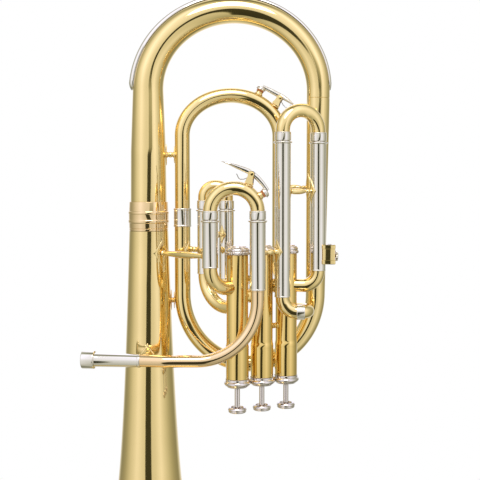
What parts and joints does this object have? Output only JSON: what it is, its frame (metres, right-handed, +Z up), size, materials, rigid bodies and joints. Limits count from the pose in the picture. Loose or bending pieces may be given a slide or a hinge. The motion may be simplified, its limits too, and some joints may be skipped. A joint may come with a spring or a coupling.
{
  "type": "alto horn",
  "caption": "Upright valved brass horn with conical bell and bows, piston valves with finger buttons, pull-out tuning slides, water keys and a lyre box.",
  "frame": {"origin": "bottom centre of the box: in the plane of the bell's rim, under the middle of the horn's width, 34.8 mm from the bell's axis", "axes": "+Z up the bell's axis towards the bottom bow, +X from the bell towards the outer leg, -Y the side with the leadpipe and main tuning slide"},
  "size_m": [0.2734, 0.206, 0.5642],
  "materials": {
    "lacquered_brass": "polished, clear lacquer",
    "gold_brass": "polished, clear lacquer",
    "nickel_silver": "polished",
    "monel": "honed",
    "spring_steel": "drawn wire",
    "cork": "matt"
  },
  "bodies": {
    "root": {"bell": "lacquered_brass", "inner_bow": "lacquered_brass", "bottom_bow": "lacquered_brass", "valve_2_casing": "lacquered_brass", "first_branch": "lacquered_brass", "second_slide_sleeves": "nickel_silver", "valve_3_casing": "lacquered_brass", "third_slide_knuckle": "lacquered_brass", "valve_1_casing": "lacquered_brass", "bell_ferrule": "gold_brass", "leadpipe": "gold_brass", "first_slide_sleeves": "nickel_silver", "third_slide_sleeves": "nickel_silver", "mouthpiece_receiver": "nickel_silver", "slide_stay": "lacquered_brass", "bell_brace": "lacquered_brass", "leg_stay": "lacquered_brass", "main_slide_elbow": "lacquered_brass", "third_slide_elbow": "lacquered_brass", "first_slide_elbow_left": "lacquered_brass", "first_slide_elbow_right": "lacquered_brass", "bow_guard": "nickel_silver", "valve_1_spring": "spring_steel", "valve_2_spring": "spring_steel", "valve_3_spring": "spring_steel", "valve_1_top_cap": "nickel_silver", "valve_1_bottom_cap": "nickel_silver", "valve_2_top_cap": "nickel_silver", "valve_2_bottom_cap": "nickel_silver", "valve_3_top_cap": "nickel_silver", "valve_3_bottom_cap": "nickel_silver", "water_key_2_saddle": "lacquered_brass", "receiver_brace": "lacquered_brass", "inner_bow_ferrule": "nickel_silver", "main_slide_sleeve_left": "nickel_silver", "main_slide_sleeve_right": "nickel_silver", "valve_1_guide": "monel", "valve_2_guide": "monel", "valve_3_guide": "monel", "lyre_box": "lacquered_brass", "water_key_2_spring": "spring_steel"},
    "valve_1": {"valve_1_piston": "monel", "valve_1_button": "nickel_silver"},
    "valve_2": {"valve_2_piston": "monel", "valve_2_button": "nickel_silver"},
    "valve_3": {"valve_3_piston": "monel", "valve_3_button": "nickel_silver"},
    "main_slide": {"main_slide_crook": "lacquered_brass", "main_slide_leg_left": "nickel_silver", "main_slide_leg_right": "nickel_silver", "water_key_1_saddle": "lacquered_brass", "water_key_1_spring": "spring_steel"},
    "water_key_1": {"water_key_1_lever": "nickel_silver", "water_key_1_cork": "cork"},
    "first_slide": {"first_slide_crook": "lacquered_brass"},
    "second_slide": {"second_slide_crook": "lacquered_brass"},
    "third_slide": {"third_slide_crook": "lacquered_brass"},
    "water_key_2": {"water_key_2_lever": "nickel_silver", "water_key_2_cork": "cork"},
    "lyre_screw": {"lyre_screw": "nickel_silver"}
  },
  "joints": [
    {"name": "valve_1_press", "type": "slide", "parent": "root", "child": "valve_1", "axis": [0, 0, 1], "range_m": [0, 0.0162], "stiffness_N_per_m": 90, "springref_m": -0.02, "deforming": ["valve_1_spring"]},
    {"name": "valve_2_press", "type": "slide", "parent": "root", "child": "valve_2", "axis": [0, 0, 1], "range_m": [0, 0.0162], "stiffness_N_per_m": 90, "springref_m": -0.02, "deforming": ["valve_2_spring"]},
    {"name": "valve_3_press", "type": "slide", "parent": "root", "child": "valve_3", "axis": [0, 0, 1], "range_m": [0, 0.0162], "stiffness_N_per_m": 90, "springref_m": -0.02, "deforming": ["valve_3_spring"]},
    {"name": "main_slide_pull", "type": "slide", "parent": "root", "child": "main_slide", "axis": [0, 0, 1], "range_m": [0, 0.03]},
    {"name": "first_slide_pull", "type": "slide", "parent": "root", "child": "first_slide", "axis": [0, 0, 1], "range_m": [0, 0.045]},
    {"name": "second_slide_pull", "type": "slide", "parent": "root", "child": "second_slide", "axis": [-0.2, 0.9798, 0], "range_m": [0, 0.012]},
    {"name": "third_slide_pull", "type": "slide", "parent": "root", "child": "third_slide", "axis": [0, 0, 1], "range_m": [0, 0.1]},
    {"name": "water_key_1_press", "type": "hinge", "parent": "main_slide", "child": "water_key_1", "pos_m": [0.05903, -0.058, 0.4007], "axis": [0, -1, 0], "range_deg": [0, 12]},
    {"name": "water_key_2_press", "type": "hinge", "parent": "root", "child": "water_key_2", "pos_m": [0.08563, 0.0066, 0.4705], "axis": [0, 1, 0], "range_deg": [0, 12]},
    {"name": "lyre_screw_turn", "type": "hinge", "parent": "root", "child": "lyre_screw", "pos_m": [0.13403, -0.024, 0.3278], "axis": [1, 0, 0], "continuous": true}
  ]
}
